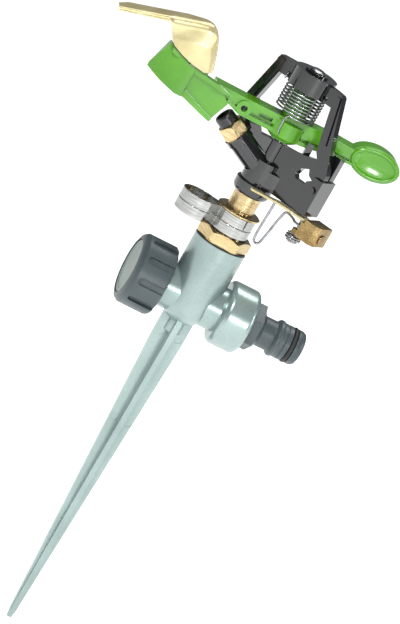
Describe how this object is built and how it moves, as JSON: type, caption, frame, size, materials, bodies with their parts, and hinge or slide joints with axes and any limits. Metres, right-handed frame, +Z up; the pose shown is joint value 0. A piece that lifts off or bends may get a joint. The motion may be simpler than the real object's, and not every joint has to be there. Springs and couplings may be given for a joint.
{
  "type": "impulse sprinkler",
  "caption": "Part-circle impulse lawn sprinkler on a ground spike, with a swinging arm, trip stops, a flow knob and a click-on hose inlet.",
  "frame": {"origin": "on the spike's axis at the ground line, where the spike meets the foot of the valve body", "axes": "+Z up along the spike and the head's bearing, +X along the hose inlet towards the hose, the flow knob at -X"},
  "size_m": [0.1463, 0.0439, 0.2843],
  "materials": {
    "silver_casting": "satin silver paint on a zinc casting",
    "grey_cap": "light grey moulded plastic",
    "dark_plastic": "dark grey moulded plastic, semi-matt",
    "black_plastic": "black moulded plastic",
    "rubber": "black rubber",
    "brass": "turned brass",
    "bronze": "dull machined brass",
    "stainless": "turned stainless steel",
    "spring_strip": "bright rolled stainless strip",
    "spring_wire": "drawn spring wire",
    "black_enamel": "gloss black enamel on a zinc casting",
    "green_enamel": "gloss bright green enamel on a zinc casting",
    "gold_zinc": "pale gold passivated sheet steel",
    "nylon": "natural nylon"
  },
  "bodies": {
    "valve": {"ground_spike": "silver_casting", "valve_body": "silver_casting", "inlet_socket": "silver_casting", "socket_gasket": "rubber", "filter_washer": "rubber", "inlet_filter": "stainless", "hose_connector": "dark_plastic", "connector_o_ring": "rubber", "seat_washer": "rubber", "gland_nut": "brass", "gland_o_ring": "rubber", "body_gasket": "rubber", "bearing_nipple": "brass"},
    "flow_knob": {"knob": "dark_plastic", "knob_cap": "grey_cap", "knob_screw": "stainless", "spindle": "brass", "valve_disc": "brass"},
    "lower_stop": {"lower_collar": "spring_strip"},
    "upper_stop": {"upper_collar": "spring_strip"},
    "head": {"bearing_sleeve": "brass", "thrust_washer": "nylon", "head_body": "black_enamel", "nozzle": "brass", "nozzle_tip": "black_plastic", "fulcrum_pin": "stainless", "arm_spring": "spring_wire", "toggle_spring": "spring_wire", "trip_pivot": "stainless", "pivot_clip": "stainless", "stop_pin": "stainless"},
    "swing_arm": {"arm": "green_enamel", "arm_bushes": "nylon", "deflector_rivet": "gold_zinc"},
    "deflector_flap": {"deflector": "gold_zinc"},
    "trip_lever": {"trip_plate": "gold_zinc", "trip_wire": "spring_wire", "trip_block": "bronze", "block_pin": "bronze", "trip_spring": "spring_wire"},
    "dog_lever": {"reversing_dog": "black_enamel", "dog_shaft": "stainless", "dog_clip": "stainless"}
  },
  "joints": [
    {"name": "head_turn", "type": "hinge", "parent": "valve", "child": "head", "pos_m": [0, 0, 0.06], "axis": [0, 0, 1], "range_deg": [-75, 165]},
    {"name": "arm_swing", "type": "hinge", "parent": "head", "child": "swing_arm", "pos_m": [0, 0, 0.1], "axis": [0, 0, 1], "range_deg": [0, 90], "stiffness_Nm_per_rad": 0.02, "springref_deg": -34.38},
    {"name": "lower_stop_turn", "type": "hinge", "parent": "valve", "child": "lower_stop", "pos_m": [0, 0, 0.05], "axis": [0, 0, 1], "range_deg": [-15, 15]},
    {"name": "upper_stop_turn", "type": "hinge", "parent": "valve", "child": "upper_stop", "pos_m": [0, 0, 0.055], "axis": [0, 0, 1], "range_deg": [-15, 15]},
    {"name": "knob_turn", "type": "hinge", "parent": "valve", "child": "flow_knob", "pos_m": [-0.02, 0, 0.014], "axis": [-1, 0, 0], "range_deg": [0, 180]},
    {"name": "deflector_tilt", "type": "hinge", "parent": "swing_arm", "child": "deflector_flap", "pos_m": [-0.047, -0.0076, 0.11035], "axis": [0, 1, 0], "range_deg": [0, 12]},
    {"name": "trip_swing", "type": "hinge", "parent": "head", "child": "trip_lever", "pos_m": [0.02239, -0.01877, 0.06], "axis": [0, 0, 1], "range_deg": [-4, 4]},
    {"name": "dog_swing", "type": "hinge", "parent": "head", "child": "dog_lever", "pos_m": [0.02334, -0.01138, 0.09], "axis": [0, 0, 1], "range_deg": [-12.1, 12.1]}
  ],
  "couplings": [
    {"joint": "dog_swing", "follows": "trip_swing", "ratio": -3}
  ]
}
